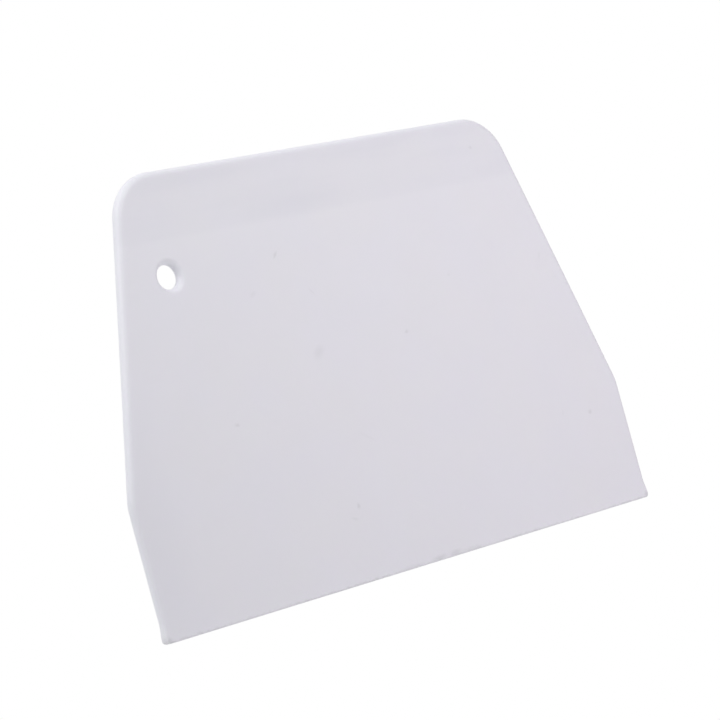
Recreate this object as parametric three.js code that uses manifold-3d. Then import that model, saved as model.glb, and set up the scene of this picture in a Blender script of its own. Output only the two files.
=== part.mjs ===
// Bench scraper: one moulded plastic plate with a hanging hole, lying on its back.
// Millimetres. X runs along the scraping edge, +Y points to the grip edge and
// +Z comes out of the front face. The origin is under the middle of the plate.

import * as THREE from 'three';
import { mergeVertices } from 'three/addons/utils/BufferGeometryUtils.js';
import Module from 'manifold-3d';

const wasm = await Module();
wasm.setup();

// Outline, seen from the front.
const width = 197;
const height = 130;
const gripEdgeWidth = 148.5; // between the top corners before they are rounded
const cheekHeight = 39; // parallel sides above the scraping edge
const topCornerRadius = 15.5;
const footCornerRadius = 1.2;

// Thickness. The grip band is a shallow wedge, and below it the front face
// curves down to the scraping edge while the back stays flat.
const gripThickness = 4.0; // at the grip edge
const creaseThickness = 3.8;
const edgeThickness = 2.8;
const gripBandHeight = 20;
const bladeSteps = 6; // flat facets that stand for the curved front face

// Sides, grip edge and hole rim are rounded to almost half the thickness.
const rimRadius = 1.9;
const rimSegments = 5;
const arcSegments = 7; // ExtrudeGeometry cuts an arc into twice as many

// Hanging hole, placed from the middle of the plate.
const holeRadius = 3.6;
const holeX = -64.8;
const holeY = 34.4;

const gripEdgeY = height / 2;
const scrapingEdgeY = -height / 2;
const shoulderY = scrapingEdgeY + cheekHeight;
const creaseY = gripEdgeY - gripBandHeight;
const trimMargin = 10; // how far cutting solids reach past the plate

function plateOutline() {
  const sideLean = Math.atan2((width - gripEdgeWidth) / 2, gripEdgeY - shoulderY);
  const cornerInset = topCornerRadius * Math.tan((Math.PI / 2 - sideLean) / 2);
  const cornerX = gripEdgeWidth / 2 - cornerInset;
  const cornerY = gripEdgeY - topCornerRadius;
  const outline = new THREE.Shape();
  outline.moveTo(-width / 2, scrapingEdgeY - trimMargin);
  outline.lineTo(width / 2, scrapingEdgeY - trimMargin);
  outline.lineTo(width / 2, shoulderY);
  outline.absarc(cornerX, cornerY, topCornerRadius, sideLean, Math.PI / 2);
  outline.absarc(-cornerX, cornerY, topCornerRadius, Math.PI / 2, Math.PI - sideLean);
  outline.lineTo(-width / 2, shoulderY);
  outline.closePath();
  return outline;
}

function hangingHole() {
  const hole = new THREE.Path();
  hole.absarc(holeX, holeY, holeRadius, 0, Math.PI);
  hole.absarc(holeX, holeY, holeRadius, Math.PI, 2 * Math.PI);
  return hole;
}

// A block between two heights, wider and deeper than the plate.
function bandShape(lowY, highY) {
  const band = new THREE.Shape();
  band.moveTo(-width, lowY);
  band.lineTo(width, lowY);
  band.lineTo(width, highY);
  band.lineTo(-width, highY);
  band.closePath();
  return band;
}

// Everything above the scraping edge, with the two foot corners slightly rounded.
function footTrimShape() {
  const footX = width / 2 - footCornerRadius;
  const footY = scrapingEdgeY + footCornerRadius;
  const trim = new THREE.Shape();
  trim.absarc(-footX, footY, footCornerRadius, Math.PI, 1.5 * Math.PI);
  trim.absarc(footX, footY, footCornerRadius, -0.5 * Math.PI, 0);
  trim.lineTo(width / 2, gripEdgeY + trimMargin);
  trim.lineTo(-width / 2, gripEdgeY + trimMargin);
  trim.closePath();
  return trim;
}

function solidFrom(geometry) {
  geometry.deleteAttribute('normal');
  geometry.deleteAttribute('uv');
  const merged = mergeVertices(geometry);
  const vertProperties = merged.getAttribute('position').array;
  const triVerts = new Uint32Array(merged.getIndex().array);
  return new wasm.Manifold(new wasm.Mesh({ numProp: 3, vertProperties, triVerts }));
}

function geometryFrom(solid) {
  const { vertProperties, triVerts } = solid.getMesh();
  const geometry = new THREE.BufferGeometry();
  geometry.setAttribute('position', new THREE.BufferAttribute(vertProperties, 3));
  geometry.setIndex(new THREE.BufferAttribute(triVerts, 1));
  geometry.computeVertexNormals();
  return geometry;
}

// A cutter is a flat shape that runs well past both faces of the plate.
function cutterFrom(shape) {
  const geometry = new THREE.ExtrudeGeometry(shape, {
    depth: 3 * gripThickness,
    curveSegments: arcSegments,
    bevelEnabled: false,
  });
  geometry.translate(0, 0, -gripThickness);
  return solidFrom(geometry);
}

// The plate before it is thinned: even thickness, rounded all round.
function evenPlate() {
  const outline = plateOutline();
  outline.holes.push(hangingHole());
  const geometry = new THREE.ExtrudeGeometry(outline, {
    depth: gripThickness - 2 * rimRadius,
    curveSegments: arcSegments,
    bevelEnabled: true,
    bevelThickness: rimRadius,
    bevelSize: rimRadius,
    bevelOffset: -rimRadius,
    bevelSegments: rimSegments,
  });
  geometry.translate(0, 0, rimRadius);
  return solidFrom(geometry);
}

// The grip band reaches its full thickness where its rim starts to round.
function thicknessAt(y) {
  if (y > creaseY) {
    const rise = Math.min((y - creaseY) / (gripBandHeight - rimRadius), 1);
    return THREE.MathUtils.lerp(creaseThickness, gripThickness, rise);
  }
  const fall = (creaseY - y) / (creaseY - scrapingEdgeY);
  return creaseThickness - (creaseThickness - edgeThickness) * fall * fall;
}

// Scales a band's depth so that its front face follows the thickness curve.
function thinned(band) {
  const geometry = geometryFrom(band);
  const position = geometry.getAttribute('position');
  for (let i = 0; i < position.count; i += 1) {
    const scale = thicknessAt(position.getY(i)) / gripThickness;
    position.setZ(i, position.getZ(i) * scale);
  }
  return solidFrom(geometry);
}

// Heights at which the front face changes slope, from the grip edge down.
function bandLevels() {
  const levels = [gripEdgeY + trimMargin, creaseY];
  const drop = (creaseY - scrapingEdgeY) / bladeSteps;
  for (let step = 1; step <= bladeSteps; step += 1) {
    levels.push(creaseY - step * drop);
  }
  return levels;
}

function scraperPlate() {
  const blank = evenPlate();
  const levels = bandLevels();
  const bands = [];
  for (let i = 1; i < levels.length; i += 1) {
    const slice = cutterFrom(bandShape(levels[i], levels[i - 1]));
    bands.push(thinned(blank.intersect(slice)));
  }
  const joined = bands.reduce((plate, band) => plate.add(band));
  return geometryFrom(joined.intersect(cutterFrom(footTrimShape())));
}

const whitePlastic = new THREE.MeshStandardMaterial({
  name: 'white_plastic',
  color: 0xe9e8ee,
  roughness: 0.5,
  metalness: 0.0,
});

const plate = new THREE.Mesh(scraperPlate(), whitePlastic);
plate.name = 'scraper_plate';

const benchScraper = new THREE.Group();
benchScraper.add(plate);

export default benchScraper;
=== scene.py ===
"""Bench scraper: the moulded white plastic plate, and the plain studio that it is shown in.

The plate starts as a flat sheet cut to the scraper's outline. A Geometry Nodes tree then gives the
sheet its thickness, rounded rims, crisp scraping edge and small signs of use. Everything is in
metres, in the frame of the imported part: X along the scraping edge, +Y to the grip edge, +Z up.
"""

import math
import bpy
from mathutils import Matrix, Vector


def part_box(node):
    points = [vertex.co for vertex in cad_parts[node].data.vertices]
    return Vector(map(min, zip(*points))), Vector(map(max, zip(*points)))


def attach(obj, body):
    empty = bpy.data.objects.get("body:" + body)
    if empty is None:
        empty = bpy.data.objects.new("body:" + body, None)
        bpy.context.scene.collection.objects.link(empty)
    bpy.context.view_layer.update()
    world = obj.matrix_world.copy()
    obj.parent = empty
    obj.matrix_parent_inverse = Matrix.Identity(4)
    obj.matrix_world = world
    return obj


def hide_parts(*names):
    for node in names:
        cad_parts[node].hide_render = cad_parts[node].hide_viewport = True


bl_info = {
    "name": "Bench Scraper",
    "version": (1, 0, 0),
    "blender": (4, 5, 0),
    "location": "3D View > Sidebar > Scraper",
    "description": "Makes a moulded plastic bench scraper and a plain studio around it",
    "category": "Object",
}

from typing import NamedTuple

import bpy
from mathutils import Quaternion, Vector
from mathutils.geometry import delaunay_2d_cdt
from mathutils.kdtree import KDTree

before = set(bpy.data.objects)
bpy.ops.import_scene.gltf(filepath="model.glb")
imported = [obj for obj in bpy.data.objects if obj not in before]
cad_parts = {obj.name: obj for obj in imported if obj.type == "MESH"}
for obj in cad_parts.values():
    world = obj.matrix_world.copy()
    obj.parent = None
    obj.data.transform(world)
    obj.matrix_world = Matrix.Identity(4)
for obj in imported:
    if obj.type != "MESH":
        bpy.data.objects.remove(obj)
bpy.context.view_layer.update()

PLATE_NODE = "scraper_plate"
MM = 0.001

plate_low, plate_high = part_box(PLATE_NODE)
plate_size = plate_high - plate_low

# How finely the sheet is drawn.
RIM_STEPS = 10
SIDE_SPACING = 0.8 * MM
EDGE_SPACING = 0.4 * MM
CORNER_SPACING = 0.5 * MM
FOOT_SPACING = 0.12 * MM
FACE_SPACING = 2.0 * MM
HOLE_POINTS = 96
WELD_DISTANCE = 0.001 * MM
MARK_SPOKES = 10
MARK_RINGS = (0.35, 0.7, 1.05, 1.5, 2.1)
CREASE_ROWS = (-3.2, -2.1, -1.2, -0.4, 0.4, 1.2, 2.1, 3.2)

# What the tree needs to know at each point of the sheet, with the usual value. turn is -1 on the
# middle of the wall, goes from 0 to 1 over the rim and is 1 on the face. crisp is 1 along the
# scraping edge, flare is 1 round the hole, inland is 1 well away from the rims, and pit is how
# deep the dirt marks' pits are.
SHEET_VALUES = {"turn": 1.0, "crisp": 0.0, "flare": 0.0, "inland": 0.0, "pit": 0.0}

# The two faces: which way each looks, the level of the noise at which its waves leave it where it
# is, and its seeds.
SIDES = (
    {"name": "back", "outward": -1.0, "still_level": 1.0, "break_seed": 2.0, "wave_seed": -10.0},
    {"name": "front", "outward": 1.0, "still_level": 0.75, "break_seed": 4.0, "wave_seed": 10.0},
)

# The large far softboxes and the small near ones, in metres, and the tints of their light.
FAR_BOX = {"distance": 1.0, "side": 0.6}
NEAR_BOX = {"distance": 0.4, "side": 0.25}
WHITE = (1.0, 1.0, 1.0)
BLUSH = (1.0, 0.88, 0.97)


class Spot(NamedTuple):
    """A soft mark on the plate, a mark of use or a patch of painted shade: its place from the plate's
    middle and its length and width in millimetres.
    """

    at: tuple
    size: tuple
    turn: float  # in degrees
    share: float  # how strongly it shows


DIRT_MARKS = (
    Spot((-19.1, 3.8), (4.6, 3.0), 39, 0.16),
    Spot((-25.5, 34.3), (2.6, 0.8), 47, 0.34),
    Spot((16.4, 3.9), (1.4, 1.1), 30, 0.34),
    Spot((-55.6, -11.3), (1.6, 1.0), 0, 0.32),
    Spot((-19.8, -42.8), (1.7, 1.2), 80, 0.36),
    Spot((-22.5, -46.0), (2.6, 0.9), -25, 0.16),
    Spot((82.6, -34.0), (1.5, 1.2), 20, 0.36),
    Spot((62.8, 55.5), (1.2, 1.0), 0, 0.32),
    Spot((-37.5, 24.4), (2.4, 1.4), 30, 0.12),
    Spot((-15.6, 21.7), (3.4, 0.7), -53, 0.14),
    Spot((79.2, 17.8), (2.4, 1.0), 60, 0.12),
    Spot((39.4, 18.0), (1.4, 1.0), 0, 0.12),
    Spot((70.9, -32.1), (1.8, 0.9), 70, 0.10),
    Spot((-9.4, -23.8), (6.2, 0.8), -34, 0.07),
)
# Darker spots along the scraping edge and at its two ends.
EDGE_DARK_SPOTS = (
    Spot((-6.0, -64.6), (12.0, 1.6), 0, 0.18),
    Spot((5.4, -64.1), (6.4, 1.5), 4, 0.38),
    Spot((12.2, -63.9), (5.0, 1.6), 4, 0.34),
    Spot((19.0, -64.2), (8.0, 1.3), 0, 0.22),
    Spot((97.7, -64.3), (2.2, 2.0), 30, 0.50),
    Spot((-97.6, -64.4), (3.2, 2.0), -45, 0.45),
)
# Painted shade: soft darker patches just inside the grip edge, just above the crease and down the
# lower left side.
PAINTED_SHADE_PATCHES = (
    Spot((-13.0, 48.4), (40.0, 7.0), 1, 0.40),
    Spot((-46.0, 61.5), (62.0, 7.0), 0, 0.36),
    Spot((20.0, 61.5), (44.0, 7.0), 0, 0.26),
    Spot((-94.0, -35.0), (20.0, 56.0), 0, 0.40),
)
PALE_SCUFFS = (
    Spot((3.3, -46.9), (8.0, 1.0), -37, 0.5),
    Spot((89.1, -44.5), (2.0, 0.8), 45, 0.8),
    Spot((3.1, -61.8), (2.0, 0.8), 15, 0.6),
)


# ---------------------------------------------------------------- settings


def length_setting(name, default, description):
    """A setting that is a length, in metres."""
    return bpy.props.FloatProperty(
        name=name, description=description, default=default, unit="LENGTH"
    )


def factor_setting(name, default, description, low=0.0):
    """A setting from low to 1."""
    return bpy.props.FloatProperty(
        name=name,
        description=description,
        default=default,
        min=low,
        max=1.0,
        subtype="FACTOR",
    )


def colour_setting(name, default, description):
    """A setting that is a colour."""
    return bpy.props.FloatVectorProperty(
        name=name,
        description=description,
        default=default,
        size=3,
        min=0.0,
        max=1.0,
        subtype="COLOR",
    )


def angle_setting(name, degrees, description):
    """A setting that is an angle, given here in degrees."""
    return bpy.props.FloatProperty(
        name=name, description=description, default=math.radians(degrees), subtype="ANGLE"
    )


def strength_setting(name, default, description):
    """A setting for how bright something shines, without a unit."""
    return bpy.props.FloatProperty(
        name=name, description=description, default=default, min=0.0
    )


def power_setting(name, default, description):
    """A setting for a lamp's power, in watts."""
    return bpy.props.FloatProperty(
        name=name, description=description, default=default, unit="POWER"
    )


class ScraperSizes(bpy.types.PropertyGroup):
    """The plate's shape."""

    grip_edge_width: length_setting(
        "Grip Edge Width", 148.5 * MM, "Width across the top corners before they are rounded"
    )
    cheek_height: length_setting(
        "Cheek Height", 39.0 * MM, "Height of the parallel sides above the scraping edge"
    )
    top_corner_radius: length_setting(
        "Top Corner Radius", 15.5 * MM, "Radius of the two corners of the grip edge"
    )
    shoulder_radius: length_setting(
        "Shoulder Radius", 14.0 * MM, "Soft turn where the sides start to lean in"
    )
    foot_corner_radius: length_setting(
        "Foot Corner Radius", 1.2 * MM, "Radius of the two ends of the scraping edge"
    )
    grip_band_height: length_setting(
        "Grip Band Height", 20.0 * MM, "Height of the band between the grip edge and the crease"
    )
    grip_thickness: length_setting("Grip Thickness", plate_size.z, "Thickness at the grip edge")
    crease_thickness: length_setting(
        "Crease Thickness", 3.8 * MM, "Thickness at the crease under the grip band"
    )
    crease_dip: length_setting("Crease Dip", 0.03 * MM, "How far the face sinks in at the crease")
    crease_softness: length_setting(
        "Crease Softness", 1.5 * MM, "Width over which the face turns at the crease"
    )
    dip_length: length_setting(
        "Dip Length", 6.0 * MM, "Distance under the crease in which most of the dip is regained"
    )
    edge_thickness: length_setting("Edge Thickness", 2.8 * MM, "Thickness at the scraping edge")
    rim_fullness: factor_setting(
        "Rim Fullness", 0.95, "Rim rounding as a share of half the thickness", low=0.1
    )
    edge_break: length_setting("Edge Break", 0.3 * MM, "Small rounding of the scraping edge")
    hole_flare: bpy.props.FloatProperty(
        name="Hole Flare",
        description="How far the hole's rim leans towards a straight chamfer, from 1 for round",
        default=1.15,
        min=1.0,
        max=2.0,
    )
    hole_radius: length_setting(
        "Hole Radius", 3.6 * MM, "Radius of the hanging hole at its narrowest"
    )
    hole_place: bpy.props.FloatVectorProperty(
        name="Hole Place",
        description="Middle of the hanging hole, from the middle of the plate",
        default=(-64.8 * MM, 34.4 * MM),
        size=2,
        unit="LENGTH",
    )


class ScraperWear(bpy.types.PropertyGroup):
    """Unevenness that moulding and use leave in the plate's surface."""

    wave_depth: length_setting(
        "Wave Depth", 0.03 * MM, "Height of the slow unevenness of both faces"
    )
    wave_length: length_setting("Wave Length", 30.0 * MM, "Typical distance between two waves")
    pit_depth: length_setting("Pit Depth", 0.08 * MM, "Depth of the small pits under the dirt marks")
    worn_break: length_setting(
        "Worn Break", 0.45 * MM, "Extra rounding of the scraping edge where it is most worn"
    )
    nick_depth: length_setting(
        "Nick Depth", 0.2 * MM, "Depth of the largest nicks in the scraping edge"
    )
    seed: bpy.props.FloatProperty(
        name="Seed",
        description="Chooses where waves, nicks and clouds fall",
        default=4.0,
    )


class ScraperPlastic(bpy.types.PropertyGroup):
    """The look of the white plastic."""

    body_colour: colour_setting("Body Colour", (0.824, 0.824, 0.881), "Colour of the clean plastic")
    warm_colour: colour_setting(
        "Warm Colour", (0.827, 0.826, 0.873), "Colour of the plastic where it is a little less blue"
    )
    # The same grey also paints shade on the grip band and in the painted shade patches.
    greyed_and_shade_colour: colour_setting(
        "Greyed And Shade Colour",
        (0.760, 0.762, 0.822),
        "Colour of the plastic where hands and dough have greyed it",
    )
    # Along the scraping edge this colour paints shade.
    dirt_and_shade_colour: colour_setting(
        "Dirt And Shade Colour", (0.58, 0.58, 0.61), "Colour of dirt caught in pits and along the edge"
    )
    roughness: factor_setting("Roughness", 0.42, "Roughness of the satin face")
    translucency: factor_setting(
        "Translucency", 0.3, "Share of the light that travels a little way inside the plastic"
    )


class ScraperStudio(bpy.types.PropertyGroup):
    """Camera and light."""

    view_azimuth: angle_setting(
        "View Azimuth", 183.85, "Side that the camera stands on, counted from +X"
    )
    view_elevation: angle_setting(
        "View Elevation", 48.94, "Height of the camera above the floor, as an angle"
    )
    view_roll: angle_setting(
        "View Roll", 71.5, "Turn of the camera that puts the grip edge at the top of the picture"
    )
    view_distance: length_setting(
        "View Distance", 0.8436, "Distance from the camera to the point it looks at"
    )
    view_lens: bpy.props.FloatProperty(
        name="Focal Length",
        description="Focal length on a 36 mm wide sensor, in millimetres",
        default=142.0,
    )
    dome_strength: strength_setting(
        "Dome Strength", 0.41, "Strength of the even white light from all round"
    )
    floor_glow: strength_setting("Floor Glow", 0.75, "Brightness of the floor as the plate sees it")
    key_power: power_setting(
        "Key Power", 4.80, "Power of the low softbox off the left end of the grip edge"
    )
    fill_power: power_setting(
        "Fill Power", 2.97, "Power of the low softbox in front of the scraping edge"
    )
    top_power: power_setting(
        "Top Power", 0.350, "Power of the small near softbox over the grip edge"
    )
    side_power: power_setting(
        "Side Power", 0.292, "Power of the small near softbox over the right side"
    )


# ---------------------------------------------------------------- the flat sheet


def straight(start, end, spacing):
    """Points from start up to end, each with the direction that leads into the plate."""
    along = end - start
    count = max(1, round(along.length / spacing))
    inward = Vector((-along.y, along.x)).normalized()
    return [(start + along * (step / count), inward) for step in range(count)]


def arc(centre, radius, first, last, spacing):
    """Points round an arc from the first angle up to the last, in the same form."""
    count = max(4, round(abs(last - first) * radius / spacing))
    points = []
    for step in range(count):
        angle = first + (last - first) * step / count
        outward = Vector((math.cos(angle), math.sin(angle)))
        points.append((centre + outward * radius, -outward))
    return points


def right_half(sizes):
    """The outline from the middle of the scraping edge, up the right side, to the grip edge."""
    half_width, half_height = plate_size.x / 2, plate_size.y / 2
    foot = sizes.foot_corner_radius
    shoulder = sizes.shoulder_radius
    corner = sizes.top_corner_radius
    shoulder_y = sizes.cheek_height - half_height
    lean = math.atan2(half_width - sizes.grip_edge_width / 2, half_height - shoulder_y)
    soften = shoulder * math.tan(lean / 2)
    foot_centre = Vector((half_width - foot, foot - half_height))
    shoulder_centre = Vector((half_width - shoulder, shoulder_y - soften))
    corner_inset = corner * math.tan((math.pi / 2 - lean) / 2)
    corner_centre = Vector(
        (sizes.grip_edge_width / 2 - corner_inset, half_height - corner)
    )
    lean_out = Vector((math.cos(lean), math.sin(lean)))
    side_top = corner_centre + lean_out * corner
    side_foot = shoulder_centre + lean_out * shoulder
    cheek_foot = Vector((half_width, foot_centre.y))
    cheek_top = Vector((half_width, shoulder_centre.y))
    edge_middle = Vector((0.0, -half_height))
    grip_middle = Vector((0.0, half_height))
    edge_end = Vector((foot_centre.x, -half_height))
    grip_end = Vector((corner_centre.x, half_height))
    return (
        straight(edge_middle, edge_end, EDGE_SPACING)
        + arc(foot_centre, foot, -math.pi / 2, 0.0, FOOT_SPACING)
        + straight(cheek_foot, cheek_top, SIDE_SPACING)
        + arc(shoulder_centre, shoulder, 0.0, lean, CORNER_SPACING)
        + straight(side_foot, side_top, SIDE_SPACING)
        + arc(corner_centre, corner, lean, math.pi / 2, CORNER_SPACING)
        + straight(grip_end, grip_middle, SIDE_SPACING)
        + [(grip_middle, Vector((0.0, -1.0)))]
    )


def plate_outline(sizes):
    """The whole outline, counterclockwise from the middle of the scraping edge."""
    right = right_half(sizes)
    left = []
    for place, inward in reversed(right[1:-1]):
        left.append((Vector((-place.x, place.y)), Vector((-inward.x, inward.y))))
    return right + left


def hole_outline(sizes):
    """The hole's wall, clockwise, so that inward still leads into the plastic."""
    centre = Vector(sizes.hole_place)
    points = []
    for step in range(HOLE_POINTS):
        angle = -2 * math.pi * step / HOLE_POINTS
        outward = Vector((math.cos(angle), math.sin(angle)))
        points.append((centre + outward * sizes.hole_radius, outward))
    return points


def smooth_step(value):
    """0 below 0 and 1 above 1, with a soft start and end."""
    share = min(max(value, 0.0), 1.0)
    return share * share * (3 - 2 * share)


def crispness(sizes, place):
    """1 along the scraping edge and its two ends, 0 further up the rims."""
    fade_height = 5.0 * MM
    above = place.y + plate_size.y / 2 - sizes.foot_corner_radius
    return 1.0 - smooth_step(above / fade_height)


class Sheet:
    """The flat sheet while it is drawn: its points, what the tree needs at each, its faces."""

    def __init__(self):
        self.places = []
        self.inward = []
        self.values = {label: [] for label in SHEET_VALUES}
        self.faces = []

    def add(self, place, inward=Vector((0, 0)), **values):
        """Adds a point, with the usual value where none is given. Returns its number."""
        self.places.append(place)
        self.inward.append(inward)
        for label, usual in SHEET_VALUES.items():
            self.values[label].append(values.get(label, usual))
        return len(self.places) - 1

    def join_rings(self, outer, inner):
        """Closes the gap between two rings with quads."""
        for step, (corner_a, corner_d) in enumerate(zip(outer, inner)):
            following = (step + 1) % len(outer)
            self.faces.append((corner_a, outer[following], inner[following], corner_d))

    def mesh(self, name):
        """The sheet as a Blender mesh with its values stored on the points."""
        mesh = bpy.data.meshes.new(name)
        mesh.from_pydata([(p.x, p.y, 0.0) for p in self.places], [], self.faces)
        vectors = mesh.attributes.new("inward", "FLOAT_VECTOR", "POINT")
        flat = [part for way in self.inward for part in (way.x, way.y, 0.0)]
        vectors.data.foreach_set("vector", flat)
        for label, values in self.values.items():
            stored_values = mesh.attributes.new(label, "FLOAT", "POINT")
            stored_values.data.foreach_set("value", values)
        return mesh


def draw_rim(sheet, sizes, outline, flare):
    """Rings over the rim, all on the outline until the tree spreads them. Returns the face's loop."""
    loop_margin = 0.3 * MM
    foot_share = 0.75
    turns = [-1.0] + [step / RIM_STEPS for step in range(RIM_STEPS + 1)]
    crisp = [crispness(sizes, place) for place, _ in outline]
    rings = []
    for turn in turns:
        ring = []
        for (place, inward), edge in zip(outline, crisp):
            ring.append(sheet.add(place, inward=inward, turn=turn, crisp=edge, flare=flare))
        rings.append(ring)
    rim_reach = sizes.grip_thickness / 2 + loop_margin
    edge_reach = sizes.foot_corner_radius * foot_share
    loop = []
    for (place, inward), edge in zip(outline, crisp):
        reach = rim_reach + (edge_reach - rim_reach) * edge
        loop.append(sheet.add(place + inward * reach))
    rings.append(loop)
    for outer, inner in zip(rings, rings[1:]):
        sheet.join_rings(outer, inner)
    return loop


def mark_turned(mark, offset):
    """An offset from a mark's middle, in the mark's own length and width."""
    turn = math.radians(mark.turn)
    along = offset.x * math.cos(turn) + offset.y * math.sin(turn)
    across = offset.y * math.cos(turn) - offset.x * math.sin(turn)
    return Vector((2 * along / mark.size[0], 2 * across / mark.size[1])) / MM


def pit_at(place):
    """How deep the dirt marks' pits are at a place, from 0 to 1."""
    depth = 0.0
    for mark in DIRT_MARKS:
        offset = mark_turned(mark, place - Vector(mark.at) * MM)
        depth = max(depth, mark.share * math.exp(-offset.length_squared))
    return depth


def mark_points():
    """Close points in and round each dirt mark, so that its pit has a shape."""
    points = []
    for mark in DIRT_MARKS:
        middle = Vector(mark.at) * MM
        half_length, half_width = (part / 2 for part in mark.size)
        turn = math.radians(mark.turn)
        lengthwise = Vector((math.cos(turn), math.sin(turn)))
        crosswise = Vector((-math.sin(turn), math.cos(turn)))
        points.append(middle)
        for share in MARK_RINGS:
            for spoke in range(MARK_SPOKES):
                spoke_angle = 2 * math.pi * spoke / MARK_SPOKES
                along = half_length * share * math.cos(spoke_angle) * MM
                across = half_width * share * math.sin(spoke_angle) * MM
                points.append(middle + lengthwise * along + crosswise * across)
    return points


def row_points(height, shift):
    """One row of evenly spaced points right across the plate."""
    count = int(plate_size.x / FACE_SPACING) + 1
    start = -plate_size.x / 2 + shift
    return [Vector((start + step * FACE_SPACING, height)) for step in range(count)]


def crease_points(sizes):
    """Rows close to the crease, which keep it narrow."""
    crease = plate_size.y / 2 - sizes.grip_band_height
    points = []
    for offset in CREASE_ROWS:
        points += row_points(crease + offset * MM, 0.0)
    return points


def field_points():
    """Staggered rows over the whole face."""
    step = FACE_SPACING * math.sqrt(3) / 2
    count = int(plate_size.y / step)
    points = []
    for row in range(count):
        height = -plate_size.y / 2 + row * step
        points += row_points(height, FACE_SPACING / 2 * (row % 2))
    return points


def tree_of(places):
    """A search tree over flat places."""
    tree = KDTree(len(places))
    for index, place in enumerate(places):
        tree.insert((place.x, place.y, 0.0), index)
    tree.balance()
    return tree


def keep_apart(points, taken, gap):
    """The points that keep their distance from places already taken."""
    tree = tree_of(taken)
    return [p for p in points if tree.find((p.x, p.y, 0.0))[2] > gap]


def on_the_face(points, rims, gap):
    """The points inside the face's loops, no closer to them than gap. rims are outline points."""
    tree = tree_of([place for place, _ in rims])
    kept = []
    for point in points:
        _, index, _ = tree.find((point.x, point.y, 0.0))
        place, inward = rims[index]
        if (point - place).dot(inward) > gap:
            kept.append(point)
    return kept


def fill_face(sheet, sizes, loops, outlines):
    """Fills the face between its outer loop and the hole's with even triangles."""
    rim_gap = sizes.grip_thickness / 2 + 1.2 * MM
    crease_gap = 0.5 * FACE_SPACING
    field_gap = 0.55 * FACE_SPACING
    fade_length = 8 * MM
    tolerance = 1e-8
    rims = outlines[0] + outlines[1]
    loop_places = [sheet.places[index] for loop in loops for index in loop]
    marks = on_the_face(mark_points(), rims, rim_gap)
    crease = on_the_face(crease_points(sizes), rims, rim_gap)
    crease = keep_apart(crease, loop_places + marks, crease_gap)
    field = on_the_face(field_points(), rims, rim_gap)
    field = keep_apart(field, loop_places + marks + crease, field_gap)
    loop_tree = tree_of(loop_places)
    new_points = []
    for point in marks + crease + field:
        distance = loop_tree.find((point.x, point.y, 0.0))[2]
        inland = smooth_step(distance / fade_length)
        new_points.append(sheet.add(point, inland=inland, pit=pit_at(point)))
    order = [index for loop in loops for index in loop] + new_points
    edges = []
    start = 0
    for loop in loops:
        edges += [(start + i, start + (i + 1) % len(loop)) for i in range(len(loop))]
        start += len(loop)
    coordinates = [sheet.places[index] for index in order]
    inside_only = 1
    filled = delaunay_2d_cdt(coordinates, edges, [], inside_only, tolerance)
    _, _, triangles, sources, _, _ = filled
    hole_loop = set(loops[1])
    for triangle in triangles:
        corners = tuple(order[sources[corner][0]] for corner in triangle)
        if not hole_loop.issuperset(corners):
            sheet.faces.append(corners)


def plate_sheet(sizes):
    """The finished flat sheet as a mesh."""
    sheet = Sheet()
    outlines = (plate_outline(sizes), hole_outline(sizes))
    loops = [draw_rim(sheet, sizes, outline, flare) for flare, outline in enumerate(outlines)]
    fill_face(sheet, sizes, loops, outlines)
    return sheet.mesh("plate_sheet")


# ---------------------------------------------------------------- node helpers


def link_or_set(tree, socket, value):
    """Feeds a socket from another socket, or sets it to a plain value."""
    if isinstance(value, bpy.types.NodeSocket):
        tree.links.new(value, socket)
    else:
        socket.default_value = value


def math_node(tree, operation, *values):
    """The result of one sum on numbers or sockets."""
    node = tree.nodes.new("ShaderNodeMath")
    node.operation = operation
    for socket, value in zip(node.inputs, values):
        link_or_set(tree, socket, value)
    return node.outputs[0]


def plus(tree, first, second):
    """The sum of two numbers."""
    return math_node(tree, "ADD", first, second)


def minus(tree, first, second):
    """The first number less the second."""
    return math_node(tree, "SUBTRACT", first, second)


def times(tree, first, second):
    """The product of two numbers."""
    return math_node(tree, "MULTIPLY", first, second)


def ramp_node(tree, value, low, high, start=0.0, end=1.0, soft=True):
    """value from low..high spread over start..end, and held beyond."""
    node = tree.nodes.new("ShaderNodeMapRange")
    node.interpolation_type = "SMOOTHSTEP" if soft else "LINEAR"
    for socket, given in zip(node.inputs, (value, low, high, start, end)):
        link_or_set(tree, socket, given)
    return node.outputs[0]


def blend_node(tree, share, first, second):
    """first where share is 0 and second where it is 1, for numbers."""
    node = tree.nodes.new("ShaderNodeMix")
    node.data_type = "FLOAT"
    link_or_set(tree, node.inputs[0], share)
    link_or_set(tree, node.inputs[2], first)
    link_or_set(tree, node.inputs[3], second)
    return node.outputs[0]


def colour_node(tree, share, first, second, mode="MIX"):
    """Two colours blended by share."""
    node = tree.nodes.new("ShaderNodeMix")
    node.data_type = "RGBA"
    node.blend_type = mode
    link_or_set(tree, node.inputs[0], share)
    link_or_set(tree, node.inputs[6], first)
    link_or_set(tree, node.inputs[7], second)
    return node.outputs[2]


def vector_node(tree, operation, *values):
    """The result of one sum on vectors."""
    node = tree.nodes.new("ShaderNodeVectorMath")
    node.operation = operation
    for socket, value in zip(node.inputs, values):
        link_or_set(tree, socket, value)
    return node.outputs["Value" if operation == "LENGTH" else "Vector"]


def largest(tree, values):
    """The largest of several numbers."""
    result, *others = values
    for value in others:
        result = math_node(tree, "MAXIMUM", result, value)
    return result


def split_vector(tree, vector):
    """The three parts of a vector."""
    node = tree.nodes.new("ShaderNodeSeparateXYZ")
    link_or_set(tree, node.inputs[0], vector)
    return node.outputs


def joined_vector(tree, x, y=0.0, z=0.0):
    """A vector from its three parts."""
    node = tree.nodes.new("ShaderNodeCombineXYZ")
    for socket, value in zip(node.inputs, (x, y, z)):
        link_or_set(tree, socket, value)
    return node.outputs[0]


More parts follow.
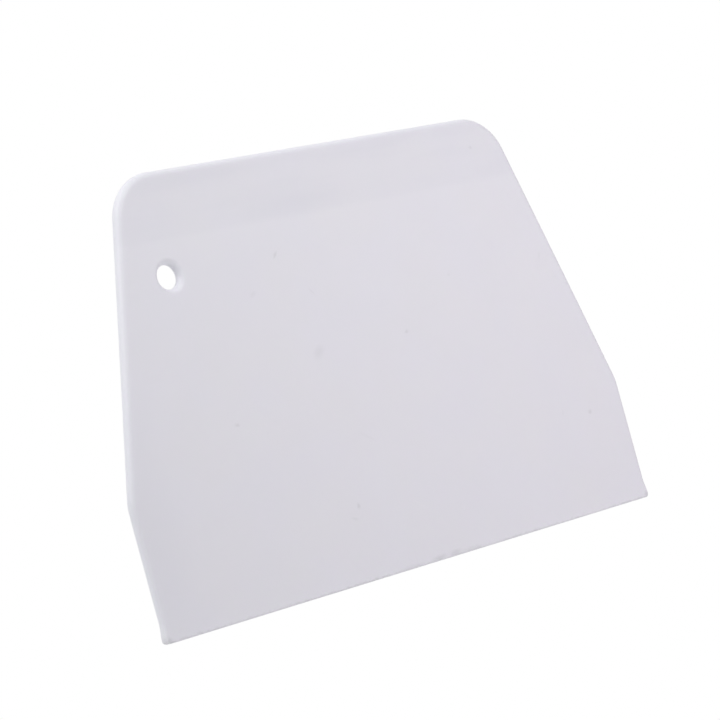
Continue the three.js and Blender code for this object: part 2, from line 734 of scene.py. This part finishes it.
def noise_field(tree, vector, scale, detail, seed):
    """Soft noise from 0 to 1 in three dimensions and a seed."""
    node = tree.nodes.new("ShaderNodeTexNoise")
    node.noise_dimensions = "4D"
    link_or_set(tree, node.inputs["Vector"], vector)
    link_or_set(tree, node.inputs["W"], seed)
    link_or_set(tree, node.inputs["Scale"], scale)
    node.inputs["Detail"].default_value = detail
    return node.outputs[0]


def add_socket(tree, name, kind, direction="INPUT", value=None):
    """A named input or output on a tree."""
    item = tree.interface.new_socket(name=name, in_out=direction, socket_type=kind)
    if value is not None:
        item.default_value = value
    return item


def set_sockets(node, values):
    """Sets a node's inputs to plain values, by name."""
    for name, value in values.items():
        node.inputs[name].default_value = value


def new_object(name, data):
    """An object in the scene's own collection."""
    made = bpy.data.objects.new(name, data)
    bpy.context.scene.collection.objects.link(made)
    return made


# ---------------------------------------------------------------- the plate's tree


def softened(tree, value, width):
    """value where it is well above 0 and 0 where it is well below, with a soft turn between."""
    squared = times(tree, value, value)
    lifted = math_node(tree, "MULTIPLY_ADD", width, width, squared)
    doubled = plus(tree, value, math_node(tree, "SQRT", lifted))
    return times(tree, doubled, 0.5)


def thickness_field(tree, height, size):
    """Thickness at a height: a shallow wedge in the grip band, a curve down to the edge below."""
    offset = minus(tree, height, size["Crease Height"])
    above = softened(tree, offset, size["Crease Softness"])
    rise = ramp_node(tree, above, 0.0, size["Grip Ramp"], soft=False)
    lowest = minus(tree, size["Crease Thickness"], size["Crease Dip"])
    swell = minus(tree, size["Grip Thickness"], lowest)
    wedge = times(tree, rise, swell)
    blade = minus(tree, size["Crease Height"], size["Scraping Edge"])
    below = minus(tree, above, offset)
    fall = math_node(tree, "DIVIDE", below, blade)
    squared = times(tree, fall, fall)
    loss = minus(tree, size["Crease Thickness"], size["Edge Thickness"])
    thinning = times(tree, squared, loss)
    faded = math_node(tree, "EXPONENT", math_node(tree, "DIVIDE", below, size["Dip Length"]))
    recovery = minus(tree, 1.0, math_node(tree, "DIVIDE", 1.0, faded))
    regained = times(tree, recovery, size["Crease Dip"])
    blade_part = minus(tree, regained, thinning)
    thick = plus(tree, lowest, wedge)
    return plus(tree, thick, blade_part)


def stored(tree, name, kind="FLOAT"):
    """A value that the sheet holds on its points."""
    node = tree.nodes.new("GeometryNodeInputNamedAttribute")
    node.data_type = kind
    node.inputs["Name"].default_value = name
    return node.outputs["Attribute"]


def edge_noise(tree, across, size, spacing, offset):
    """Soft noise along the scraping edge only."""
    seed = plus(tree, size["Seed"], offset)
    return noise_field(tree, joined_vector(tree, across), 1 / spacing, detail=1.0, seed=seed)


def nick_field(tree, across, crisp, size):
    """How far the scraping edge is nicked at each point along it."""
    nick_spacing, nicked_levels = 2.2 * MM, (0.58, 0.80)
    patch_spacing, patch_levels = 24 * MM, (0.42, 0.62)
    fully_crisp = (0.9, 1.0)
    notch = ramp_node(tree, edge_noise(tree, across, size, nick_spacing, 0.0), *nicked_levels)
    where = ramp_node(tree, edge_noise(tree, across, size, patch_spacing, 1.0), *patch_levels)
    share = times(tree, notch, where)
    depth = times(tree, share, size["Nick Depth"])
    return times(tree, depth, ramp_node(tree, crisp, *fully_crisp))


def edge_break_field(tree, across, seed, size):
    """Rounding of the scraping edge, larger where it is worn."""
    fine_spacing, fine_levels = 2.6 * MM, (0.40, 0.72)
    patch_spacing, patch_levels = 16 * MM, (0.35, 0.65)
    fine = ramp_node(tree, edge_noise(tree, across, size, fine_spacing, seed), *fine_levels)
    patch = ramp_node(tree, edge_noise(tree, across, size, patch_spacing, seed), *patch_levels)
    share = times(tree, fine, patch)
    return math_node(tree, "MULTIPLY_ADD", share, size["Worn Break"], size["Edge Break"])


def plate_tree(size_names):
    """The tree that turns the flat sheet into the plate, with an input for each size."""
    tree = bpy.data.node_groups.new("Plate From Sheet", "GeometryNodeTree")
    add_socket(tree, "Sheet", "NodeSocketGeometry")
    for name in size_names:
        add_socket(tree, name, "NodeSocketFloat")
    add_socket(tree, "Plastic", "NodeSocketMaterial")
    add_socket(tree, "Plate", "NodeSocketGeometry", direction="OUTPUT")
    given = tree.nodes.new("NodeGroupInput")
    size = {name: given.outputs[name] for name in size_names}

    position = tree.nodes.new("GeometryNodeInputPosition").outputs[0]
    x, y, _ = split_vector(tree, position)
    inward = split_vector(tree, stored(tree, "inward", "FLOAT_VECTOR"))
    turn = stored(tree, "turn")
    crisp = stored(tree, "crisp")

    first_half = times(tree, thickness_field(tree, y, size), 0.5)
    round_reach = times(tree, first_half, size["Rim Fullness"])
    angle = times(tree, math_node(tree, "MAXIMUM", turn, 0.0), math.pi / 2)
    flare = blend_node(tree, stored(tree, "flare"), 1.0, size["Hole Flare"])
    level = math_node(tree, "POWER", math_node(tree, "COSINE", angle), flare)
    upright = math_node(tree, "POWER", math_node(tree, "SINE", angle), flare)
    rolled = minus(tree, 1.0, level)
    half_way = 0.5
    inward_x = math_node(tree, "ABSOLUTE", inward[0])
    inward_y = math_node(tree, "ABSOLUTE", inward[1])
    at_rim = math_node(tree, "GREATER_THAN", plus(tree, inward_x, inward_y), half_way)
    nick = times(tree, nick_field(tree, x, crisp, size), at_rim)
    off_middle = math_node(tree, "GREATER_THAN", turn, -half_way)
    wave_scale = math_node(tree, "DIVIDE", 1.0, size["Wave Length"])
    inland = stored(tree, "inland")
    joined = tree.nodes.new("GeometryNodeJoinGeometry")
    for side in SIDES:
        edge_break = edge_break_field(tree, x, side["break_seed"], size)
        reach = blend_node(tree, crisp, round_reach, edge_break)
        inset = times(tree, reach, rolled)
        new_x = math_node(tree, "MULTIPLY_ADD", inward[0], inset, x)
        inset_y = math_node(tree, "MULTIPLY_ADD", inward[1], inset, y)
        new_y = plus(tree, inset_y, nick)
        half = times(tree, thickness_field(tree, new_y, size), 0.5)
        wall = minus(tree, half, reach)
        rounded = math_node(tree, "MULTIPLY_ADD", reach, upright, wall)
        lift = times(tree, rounded, off_middle)
        side_seed = plus(tree, size["Seed"], side["wave_seed"])
        noise = noise_field(tree, position, wave_scale, detail=2.0, seed=side_seed)
        raised = minus(tree, noise, side["still_level"])
        deep = times(tree, raised, size["Wave Depth"])
        wave = times(tree, deep, inland)
        surface = plus(tree, lift, wave)
        source = given.outputs["Sheet"]
        if side["name"] == "front":
            pit = times(tree, stored(tree, "pit"), size["Pit Depth"])
            surface = minus(tree, surface, pit)
        else:
            flipped = tree.nodes.new("GeometryNodeFlipFaces")
            tree.links.new(source, flipped.inputs[0])
            source = flipped.outputs[0]
        height = math_node(tree, "MULTIPLY_ADD", surface, side["outward"], half)
        moved = tree.nodes.new("GeometryNodeSetPosition")
        tree.links.new(source, moved.inputs["Geometry"])
        tree.links.new(joined_vector(tree, new_x, new_y, height), moved.inputs["Position"])
        tree.links.new(moved.outputs[0], joined.inputs[0])

    merged = tree.nodes.new("GeometryNodeMergeByDistance")
    merged.inputs["Distance"].default_value = WELD_DISTANCE
    smooth = tree.nodes.new("GeometryNodeSetShadeSmooth")
    realized = tree.nodes.new("GeometryNodeRealizeInstances")
    painted = tree.nodes.new("GeometryNodeSetMaterial")
    result = tree.nodes.new("NodeGroupOutput")
    steps = (joined, merged, smooth, realized, painted)
    for step, following in zip(steps, steps[1:]):
        tree.links.new(step.outputs[0], following.inputs["Geometry"])
    tree.links.new(given.outputs["Plastic"], painted.inputs["Material"])
    tree.links.new(painted.outputs[0], result.inputs[0])
    return tree


def plate_inputs(sizes, wear):
    """The tree's sizes by name, from the settings and the frame."""
    return {
        "Grip Thickness": sizes.grip_thickness,
        "Crease Thickness": sizes.crease_thickness,
        "Edge Thickness": sizes.edge_thickness,
        "Crease Height": plate_size.y / 2 - sizes.grip_band_height,
        "Crease Dip": sizes.crease_dip,
        "Dip Length": sizes.dip_length,
        "Crease Softness": sizes.crease_softness,
        "Grip Ramp": sizes.grip_band_height - sizes.grip_thickness / 2,
        "Scraping Edge": -plate_size.y / 2,
        "Rim Fullness": sizes.rim_fullness,
        "Hole Flare": sizes.hole_flare,
        "Edge Break": sizes.edge_break,
        "Worn Break": wear.worn_break,
        "Wave Depth": wear.wave_depth,
        "Wave Length": wear.wave_length,
        "Pit Depth": wear.pit_depth,
        "Nick Depth": wear.nick_depth,
        "Seed": wear.seed,
    }


def bake_tree(name, mesh, tree, values):
    """Runs a tree on a mesh and returns the result as a plain object."""
    carrier = new_object(name + "_sheet", mesh)
    modifier = carrier.modifiers.new("shape", "NODES")
    modifier.node_group = tree
    for item in tree.interface.items_tree:
        if item.item_type == "SOCKET" and item.in_out == "INPUT" and item.name in values:
            modifier[item.identifier] = values[item.name]
    graph = bpy.context.evaluated_depsgraph_get()
    made = bpy.data.meshes.new_from_object(carrier.evaluated_get(graph), depsgraph=graph)
    made.name = name
    if not made.polygons:
        raise RuntimeError("The tree made no faces for " + name)
    carrier.modifiers.clear()
    bpy.data.objects.remove(carrier)
    for label in ("inward", *SHEET_VALUES):
        made.attributes.remove(made.attributes[label])
    return new_object(name, made)


# ---------------------------------------------------------------- the plastic


def new_group(name, inputs, outputs):
    """A shader node group that takes a place and named numbers and puts out named numbers."""
    tree = bpy.data.node_groups.new(name, "ShaderNodeTree")
    add_socket(tree, "Place", "NodeSocketVector")
    for label, usual in inputs.items():
        add_socket(tree, label, "NodeSocketFloat", value=usual)
    for label in outputs:
        add_socket(tree, label, "NodeSocketFloat", direction="OUTPUT")
    given = tree.nodes.new("NodeGroupInput").outputs
    result = tree.nodes.new("NodeGroupOutput").inputs
    return tree, given, result


def use_group(tree, group, place, values=None):
    """Puts a node group in a material with its own values. Returns its outputs."""
    node = tree.nodes.new("ShaderNodeGroup")
    node.node_tree = group
    link_or_set(tree, node.inputs["Place"], place)
    set_sockets(node, values or {})
    return node.outputs


def stretched(tree, place, turn, lengths, middle=(0.0, 0.0, 0.0)):
    """A place counted from a middle in units of the given lengths, along axes turned about Z."""
    node = tree.nodes.new("ShaderNodeMapping")
    node.vector_type = "TEXTURE"
    link_or_set(tree, node.inputs["Vector"], place)
    set_sockets(node, {"Location": middle, "Rotation": (0.0, 0.0, turn), "Scale": lengths})
    return node.outputs[0]


def cloudy_resin_group():
    """Slow and fine unevenness in the colour of the moulded resin."""
    inputs = {"Cloud Size": 20.0 * MM, "Fleck Size": 2.5 * MM, "Contrast": 0.02, "Seed": 0.0}
    tree, given, result = new_group("Cloudy Resin", inputs, ("Tone", "Warmth"))
    fleck_share = 0.4
    warm_levels = (0.30, 0.70)
    cloud_scale = math_node(tree, "DIVIDE", 1.0, given["Cloud Size"])
    fleck_scale = math_node(tree, "DIVIDE", 1.0, given["Fleck Size"])
    warm_seed = plus(tree, given["Seed"], 7.0)
    cloud = noise_field(tree, given["Place"], cloud_scale, detail=2.0, seed=given["Seed"])
    fleck = noise_field(tree, given["Place"], fleck_scale, detail=1.0, seed=given["Seed"])
    warm = noise_field(tree, given["Place"], cloud_scale, detail=1.0, seed=warm_seed)
    both = math_node(tree, "MULTIPLY_ADD", fleck, fleck_share, cloud)
    centred = minus(tree, both, (1.0 + fleck_share) / 2)
    tone = math_node(tree, "MULTIPLY_ADD", centred, given["Contrast"], 1.0)
    link_or_set(tree, result["Tone"], tone)
    link_or_set(tree, result["Warmth"], ramp_node(tree, warm, *warm_levels))
    return tree


def satin_grain_group():
    """The very fine grain of a satin mould face, as a height."""
    tree, given, result = new_group("Satin Grain", {"Grain Size": 0.35 * MM}, ("Height",))
    scale = math_node(tree, "DIVIDE", 1.0, given["Grain Size"])
    grain = noise_field(tree, given["Place"], scale, detail=2.0, seed=0.0)
    link_or_set(tree, result["Height"], grain)
    return tree


def hairline_group():
    """Faint hairline scratches in three directions, broken up into short runs."""
    tree, given, result = new_group("Hairline Scratches", {"Amount": 0.5}, ("Mask",))
    turns_and_seeds = ((1.25, 1.0), (-0.95, 5.0), (0.2, 9.0))
    run_size = (22 * MM, 1.1 * MM, 1.0)
    noise_middle, line_width = 0.5, 0.018
    patch_size, patch_levels = 9 * MM, (0.52, 0.64)
    lines = []
    for turn, seed in turns_and_seeds:
        run = stretched(tree, given["Place"], turn, run_size)
        wander = noise_field(tree, run, 1.0, detail=1.0, seed=seed)
        off_line = math_node(tree, "ABSOLUTE", minus(tree, wander, noise_middle))
        line = ramp_node(tree, off_line, 0.0, line_width, start=1.0, end=0.0)
        patch = noise_field(tree, given["Place"], 1 / patch_size, detail=1.0, seed=seed)
        broken = times(tree, line, ramp_node(tree, patch, *patch_levels))
        lines.append(broken)
    scaled = times(tree, largest(tree, lines), given["Amount"])
    link_or_set(tree, result["Mask"], scaled)
    return tree


def grip_band_group():
    """Above the crease the band is slightly streaked and a little darker, as painted shade; under it
    a painted sheen fades down the blade.
    """
    inputs = {
        "Crease Height": 0.0,
        "Grip Edge": 0.0,
        "Softness": 1.2 * MM,
        "Sheen Depth": 14.0 * MM,
    }
    tree, given, result = new_group("Grip Band", inputs, ("Band", "Streaks", "Painted Sheen"))
    streak_size, streak_levels = (34 * MM, 5 * MM, 1.0), (0.42, 0.68)
    height = split_vector(tree, given["Place"])[1]
    above = minus(tree, height, given["Crease Height"])
    under = times(tree, given["Softness"], -1.0)
    band = ramp_node(tree, above, under, given["Softness"])
    run = stretched(tree, given["Place"], 0.0, streak_size)
    streak_noise = noise_field(tree, run, 1.0, detail=2.0, seed=3.0)
    streak = ramp_node(tree, streak_noise, *streak_levels)
    edge_rise = ramp_node(tree, height, given["Crease Height"], given["Grip Edge"], start=0.5)
    streaks = times(tree, times(tree, streak, band), edge_rise)
    # The painted sheen: strongest just under the crease, fading over the sheen depth.
    deep = times(tree, given["Sheen Depth"], -1.0)
    fading = ramp_node(tree, above, deep, 0.0, soft=False)
    below = minus(tree, 1.0, band)
    painted_sheen = times(tree, times(tree, fading, fading), below)
    link_or_set(tree, result["Band"], band)
    link_or_set(tree, result["Streaks"], streaks)
    link_or_set(tree, result["Painted Sheen"], painted_sheen)
    return tree


def edge_wear_and_shade_group():
    """A narrow, ragged line along the scraping edge: wear in its roughness and bumps, and painted
    shade where it darkens the colour.
    """
    inputs = {"Scraping Edge": 0.0, "Reach": 1.3 * MM}
    tree, given, result = new_group("Edge Wear And Shade", inputs, ("Mask",))
    ragged_size, ragged_levels, ragged_reach = 1.6 * MM, (0.35, 0.70), (0.45, 1.0)
    patch_size, patch_levels, patch_amount = 14 * MM, (0.30, 0.62), (0.55, 1.0)
    full_reach = 0.15
    height = split_vector(tree, given["Place"])[1]
    above = minus(tree, height, given["Scraping Edge"])
    ragged = noise_field(tree, given["Place"], 1 / ragged_size, detail=2.0, seed=2.0)
    patch = noise_field(tree, given["Place"], 1 / patch_size, detail=0.0, seed=6.0)
    uneven = ramp_node(tree, ragged, *ragged_levels, *ragged_reach)
    reach = times(tree, uneven, given["Reach"])
    depth_in = math_node(tree, "DIVIDE", above, reach)
    near = ramp_node(tree, depth_in, full_reach, 1.0, start=1.0, end=0.0)
    amount = ramp_node(tree, patch, *patch_levels, *patch_amount)
    link_or_set(tree, result["Mask"], times(tree, near, amount))
    return tree


def spots_group(name, spots):
    """Soft, slightly ragged spots at chosen places, on everything above a given height."""
    tree, given, result = new_group(name, {"Middle Height": 0.0}, ("Mask",))
    drift, drift_length = 0.35 * MM, 0.9 * MM
    fade_end = 1.6
    blur = tree.nodes.new("ShaderNodeTexNoise")
    link_or_set(tree, blur.inputs["Vector"], given["Place"])
    set_sockets(blur, {"Scale": 1 / drift_length, "Detail": 1.0})
    two_drifts = (2 * drift, 2 * drift, 0.0)
    drifted = vector_node(tree, "MULTIPLY_ADD", blur.outputs["Color"], two_drifts, given["Place"])
    ragged = vector_node(tree, "SUBTRACT", drifted, (drift, drift, 0.0))
    masks = []
    for spot in spots:
        middle = (*(part * MM for part in spot.at), 0.0)
        halves = (*(part * MM / 2 for part in spot.size), 1.0)
        local = stretched(tree, ragged, math.radians(spot.turn), halves, middle=middle)
        far = vector_node(tree, "LENGTH", local)
        masks.append(ramp_node(tree, far, 0.0, fade_end, start=spot.share, end=0.0))
    depth = split_vector(tree, given["Place"])[2]
    front = math_node(tree, "GREATER_THAN", depth, given["Middle Height"])
    mask = times(tree, largest(tree, masks), front)
    link_or_set(tree, result["Mask"], mask)
    return tree


def changed_by(tree, value, changes):
    """A value with each mask's own change added where that mask shows."""
    for mask, change in changes:
        value = math_node(tree, "MULTIPLY_ADD", mask, change, value)
    return value


def satin_white_plastic(look, sizes, wear):
    """Satin white plastic with what moulding, handling and scraping leave in it, and with painted
    shade and a painted sheen in its colour.
    """
    material = bpy.data.materials.new("satin_white_plastic")
    material.use_nodes = True
    tree = material.node_tree
    shader = tree.nodes["Principled BSDF"]
    set_sockets(
        shader,
        {
            "IOR": 1.5,
            "Subsurface Weight": look.translucency,
            "Subsurface Radius": (1.0, 0.9, 1.0),
            "Subsurface Scale": 1.5 * MM,
        },
    )

    place = tree.nodes.new("ShaderNodeTexCoord").outputs["Object"]
    band_place = {
        "Crease Height": plate_size.y / 2 - sizes.grip_band_height,
        "Grip Edge": plate_size.y / 2,
    }
    front_half = {"Middle Height": sizes.edge_thickness / 2}
    resin = use_group(tree, cloudy_resin_group(), place, {"Seed": wear.seed})
    grain = use_group(tree, satin_grain_group(), place)
    lines = use_group(tree, hairline_group(), place, {"Amount": 0.6})
    band = use_group(tree, grip_band_group(), place, band_place)
    edge_wear_and_shade = use_group(tree, edge_wear_and_shade_group(), place, {"Scraping Edge": -plate_size.y / 2})
    dirt = use_group(tree, spots_group("Dirt Marks", DIRT_MARKS), place, front_half)
    pale = use_group(tree, spots_group("Pale Scuffs", PALE_SCUFFS), place, front_half)
    edge_dark_spots = use_group(tree, spots_group("Edge Dark Spots", EDGE_DARK_SPOTS), place)
    shade_patches = use_group(tree, spots_group("Painted Shade Patches", PAINTED_SHADE_PATCHES), place, front_half)

    greyed_and_shaded = (*look.greyed_and_shade_colour, 1.0)
    dirt_and_shade = (*look.dirt_and_shade_colour, 1.0)
    white = (*WHITE, 1.0)
    # Each layer's mask, how strongly it covers the ones before it, and its colour.
    layers = (
        (resin["Warmth"], 1.0, (*look.warm_colour, 1.0)),
        # The grip band's slight darkening is painted shade.
        (band["Band"], 0.12, greyed_and_shaded),
        (band["Streaks"], 0.22, greyed_and_shaded),
        # A painted sheen just under the crease, fading down the blade.
        (band["Painted Sheen"], 0.03, white),
        # The darkening along the scraping edge is painted shade.
        (edge_wear_and_shade["Mask"], 0.42, dirt_and_shade),
        (lines["Mask"], 0.12, greyed_and_shaded),
        (pale["Mask"], 0.10, white),
        # Painted shade patches inside the grip edge, above the crease and down the lower left side.
        (shade_patches["Mask"], 1.0, greyed_and_shaded),
        (largest(tree, (dirt["Mask"], edge_dark_spots["Mask"])), 1.0, dirt_and_shade),
    )
    tint = (*look.body_colour, 1.0)
    for mask, cover, layer_tint in layers:
        share = times(tree, mask, cover)
        tint = colour_node(tree, share, tint, layer_tint)
    tone = tree.nodes.new("ShaderNodeCombineColor")
    for channel in tone.inputs:
        link_or_set(tree, channel, resin["Tone"])
    toned = colour_node(tree, 1.0, tint, tone.outputs[0], mode="MULTIPLY")
    link_or_set(tree, shader.inputs["Base Color"], toned)

    # Each mask and how much it adds to the roughness, then to the height of the grain.
    roughened = (
        (band["Band"], 0.05),
        (edge_wear_and_shade["Mask"], 0.12),
        (dirt["Mask"], 0.5),
        (lines["Mask"], -0.06),
    )
    sunk = ((lines["Mask"], -0.7), (edge_wear_and_shade["Mask"], -1.5))
    link_or_set(tree, shader.inputs["Roughness"], changed_by(tree, look.roughness, roughened))
    bump = tree.nodes.new("ShaderNodeBump")
    set_sockets(bump, {"Strength": 0.5, "Distance": 0.012 * MM})
    link_or_set(tree, bump.inputs["Height"], changed_by(tree, grain["Height"], sunk))
    link_or_set(tree, shader.inputs["Normal"], bump.outputs[0])
    return material


# ---------------------------------------------------------------- the studio


def brighter_to_camera(tree, glow):
    """A strength of 1 where the camera sees the surface itself, and glow for all other light."""
    seen = tree.nodes.new("ShaderNodeLightPath").outputs["Is Camera Ray"]
    return blend_node(tree, seen, glow, 1.0)


def new_floor(studio):
    """A wide pale floor just under the plate, brighter to the camera than to the plate."""
    reach = 4.0
    drop = 0.2 * MM
    mesh = bpy.data.meshes.new("floor")
    corners = [(-reach, -reach), (reach, -reach), (reach, reach), (-reach, reach)]
    mesh.from_pydata([(x, y, plate_low.z - drop) for x, y in corners], [], [(0, 1, 2, 3)])
    material = bpy.data.materials.new("pale_floor")
    material.use_nodes = True
    tree = material.node_tree
    shader = tree.nodes["Principled BSDF"]
    set_sockets(
        shader,
        {
            "Base Color": (0.0, 0.0, 0.0, 1.0),
            "Roughness": 1.0,
            "Specular IOR Level": 0.0,
            "Emission Color": (*WHITE, 1.0),
        },
    )
    glow = brighter_to_camera(tree, studio.floor_glow)
    link_or_set(tree, shader.inputs["Emission Strength"], glow)
    mesh.materials.append(material)
    return new_object("floor", mesh)


def away_from(azimuth, elevation):
    """The direction that leads from the plate to something seen at these angles."""
    level = math.cos(elevation)
    return Vector(
        (math.cos(azimuth) * level, math.sin(azimuth) * level, math.sin(elevation))
    )


def place_facing(thing, target, away, distance, roll=0.0):
    """Puts a lamp or camera at a distance from a target and turns it to face the target."""
    thing.location = target + away * distance
    thing.rotation_mode = "QUATERNION"
    aim = (-away).to_track_quat("-Z", "Y")
    thing.rotation_quaternion = aim @ Quaternion((0, 0, 1), roll)


def new_softbox(name, angles, power, distance, side, tint=WHITE):
    """A square soft light that faces the plate, from an azimuth and elevation in degrees."""
    data = bpy.data.lights.new(name, "AREA")
    data.shape = "SQUARE"
    data.size = side
    data.energy = power
    data.color = tint
    lamp = new_object(name, data)
    away = away_from(*(math.radians(turn) for turn in angles))
    place_facing(lamp, Vector((0, 0, 0)), away, distance)
    lamp.visible_camera = False


def new_world(studio):
    """Even white light from all round, seen by the camera as a pale backdrop."""
    world = bpy.data.worlds.new("studio_dome")
    world.use_nodes = True
    tree = world.node_tree
    background = tree.nodes["Background"]
    background.inputs["Color"].default_value = (*WHITE, 1.0)
    glow = brighter_to_camera(tree, studio.dome_strength)
    link_or_set(tree, background.inputs["Strength"], glow)
    return world


def new_camera(studio):
    """The camera, aimed close to the plate's middle and rolled so that the grip edge is up."""
    target = Vector((-3.15 * MM, -1.15 * MM, plate_size.z / 2))
    data = bpy.data.cameras.new("camera")
    data.sensor_width = 36.0
    data.lens = studio.view_lens
    data.clip_start = 0.01
    camera = new_object("camera", data)
    away = away_from(studio.view_azimuth, studio.view_elevation)
    place_facing(camera, target, away, studio.view_distance, studio.view_roll)
    bpy.context.scene.camera = camera


# ---------------------------------------------------------------- operators


class SCRAPER_OT_make_plate(bpy.types.Operator):
    """Make the moulded plastic plate and let it stand for the CAD plate"""

    bl_idname = "scraper.make_plate"
    bl_label = "Make Plate"
    bl_options = {"REGISTER", "UNDO"}

    def execute(self, context):
        scene = context.scene
        sizes, wear = scene.scraper_sizes, scene.scraper_wear
        plastic = satin_white_plastic(scene.scraper_plastic, sizes, wear)
        sheet = plate_sheet(sizes)
        sheet.materials.append(plastic)
        values = plate_inputs(sizes, wear)
        tree = plate_tree(values)
        plate = bake_tree("moulded_plate", sheet, tree, {**values, "Plastic": plastic})
        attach(plate, "root")
        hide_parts(PLATE_NODE)
        return {"FINISHED"}


class SCRAPER_OT_set_studio(bpy.types.Operator):
    """Set up the floor, the lights and the camera"""

    bl_idname = "scraper.set_studio"
    bl_label = "Set Up Studio"
    bl_options = {"REGISTER", "UNDO"}

    def execute(self, context):
        studio = context.scene.scraper_studio
        new_floor(studio)
        new_camera(studio)
        new_softbox("key_light", (135, 12), studio.key_power, **FAR_BOX)
        new_softbox("fill_light", (270, 12), studio.fill_power, **FAR_BOX)
        new_softbox("top_light", (90, 50), studio.top_power, **NEAR_BOX)
        new_softbox("side_light", (0, 50), studio.side_power, **NEAR_BOX, tint=BLUSH)
        context.scene.world = new_world(studio)
        context.scene.view_settings.view_transform = "Standard"
        return {"FINISHED"}


class SCRAPER_PT_sidebar(bpy.types.Panel):
    """Everything about the scraper, in the order it is made"""

    bl_idname = "SCRAPER_PT_sidebar"
    bl_label = "Bench Scraper"
    bl_space_type = "VIEW_3D"
    bl_region_type = "UI"
    bl_category = "Scraper"

    def draw(self, context):
        scene = context.scene
        groups = (
            (scene.scraper_sizes, "scraper.make_plate"),
            (scene.scraper_wear, None),
            (scene.scraper_plastic, None),
            (scene.scraper_studio, "scraper.set_studio"),
        )
        for settings, operator in groups:
            box = self.layout.box()
            for name in settings.__annotations__:
                box.prop(settings, name)
            if operator:
                box.operator(operator)


CLASSES = (
    ScraperSizes,
    ScraperWear,
    ScraperPlastic,
    ScraperStudio,
    SCRAPER_OT_make_plate,
    SCRAPER_OT_set_studio,
    SCRAPER_PT_sidebar,
)

SETTINGS = {
    "scraper_sizes": ScraperSizes,
    "scraper_wear": ScraperWear,
    "scraper_plastic": ScraperPlastic,
    "scraper_studio": ScraperStudio,
}


def register():
    """Registers the classes and hangs the settings on the scene."""
    for cls in CLASSES:
        bpy.utils.register_class(cls)
    for name, group in SETTINGS.items():
        setattr(bpy.types.Scene, name, bpy.props.PointerProperty(type=group))


def unregister():
    """Takes everything away again."""
    for name in SETTINGS:
        delattr(bpy.types.Scene, name)
    for cls in reversed(CLASSES):
        bpy.utils.unregister_class(cls)


def main():
    """Makes the scene from nothing."""
    register()
    bpy.ops.scraper.make_plate()
    bpy.ops.scraper.set_studio()


if __name__ == "__main__":
    main()
